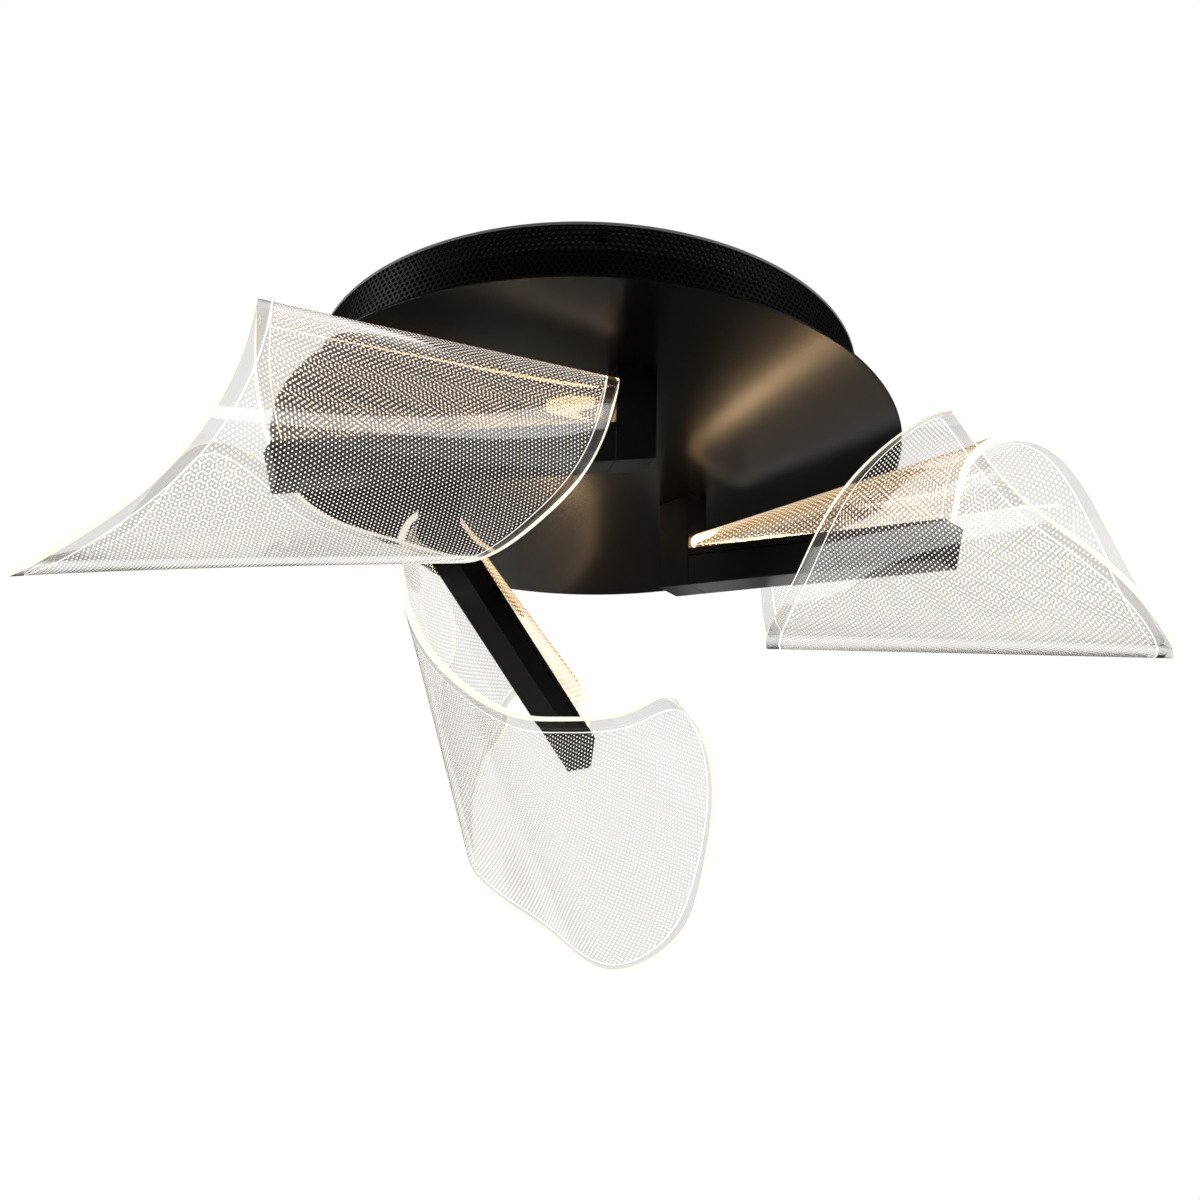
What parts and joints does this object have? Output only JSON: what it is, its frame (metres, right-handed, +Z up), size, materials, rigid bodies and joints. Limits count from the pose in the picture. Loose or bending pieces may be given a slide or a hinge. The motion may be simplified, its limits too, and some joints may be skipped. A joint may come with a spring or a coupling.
{
  "type": "led flush mount light",
  "caption": "Flush ceiling light: a round perforated canopy with a wide face disc carries sloping square arms, each holding a curled, edge-lit clear acrylic petal.",
  "frame": {"origin": "centre of the mounting plate's face, where it meets the ceiling", "axes": "+Z up, against the ceiling; +X to the right and -Y to the front, as seen in the front view"},
  "size_m": [0.6655, 0.6485, 0.2743],
  "materials": {
    "black_metal": "satin black powder coat",
    "steel_plate": "plain zinc-plated steel",
    "zinc_hardware": "bright zinc plate",
    "driver_case": "fine matt",
    "terminal_plastic": "smooth",
    "clear_acrylic": "clear with a fine engraved dot pattern, lit from its edge",
    "board_white": "white solder mask",
    "led_phosphor": "warm-white phosphor",
    "lead_jacket": "smooth sleeving"
  },
  "bodies": {
    "root": {"angle_ring": "steel_plate", "bar_1": "black_metal", "bar_2": "black_metal", "bar_3": "black_metal", "canopy_screws": "black_metal", "driver_screws": "zinc_hardware", "end_cap_1": "black_metal", "end_cap_2": "black_metal", "end_cap_3": "black_metal", "face_disc": "black_metal", "ground_screw": "zinc_hardware", "input_leads": "lead_jacket", "lead_1": "lead_jacket", "lead_2": "lead_jacket", "lead_3": "lead_jacket", "led_board_1": "board_white", "led_board_2": "board_white", "led_board_3": "board_white", "led_driver": "driver_case", "leds_1": "led_phosphor", "leds_2": "led_phosphor", "leds_3": "led_phosphor", "mounting_plate": "steel_plate", "perforated_band": "black_metal", "petal_1": "clear_acrylic", "petal_2": "clear_acrylic", "petal_3": "clear_acrylic", "pinch_screws": "black_metal", "post_1": "black_metal", "post_2": "black_metal", "post_3": "black_metal", "post_plug_1": "zinc_hardware", "post_plug_2": "zinc_hardware", "post_plug_3": "zinc_hardware", "retainer_1": "black_metal", "retainer_2": "black_metal", "retainer_3": "black_metal", "ring_rivets": "black_metal", "stud_1": "zinc_hardware", "stud_2": "zinc_hardware", "stud_3": "zinc_hardware", "stud_nuts": "zinc_hardware", "stud_washers": "zinc_hardware", "terminal_block": "terminal_plastic", "weld_nuts": "zinc_hardware"}
  },
  "joints": []
}
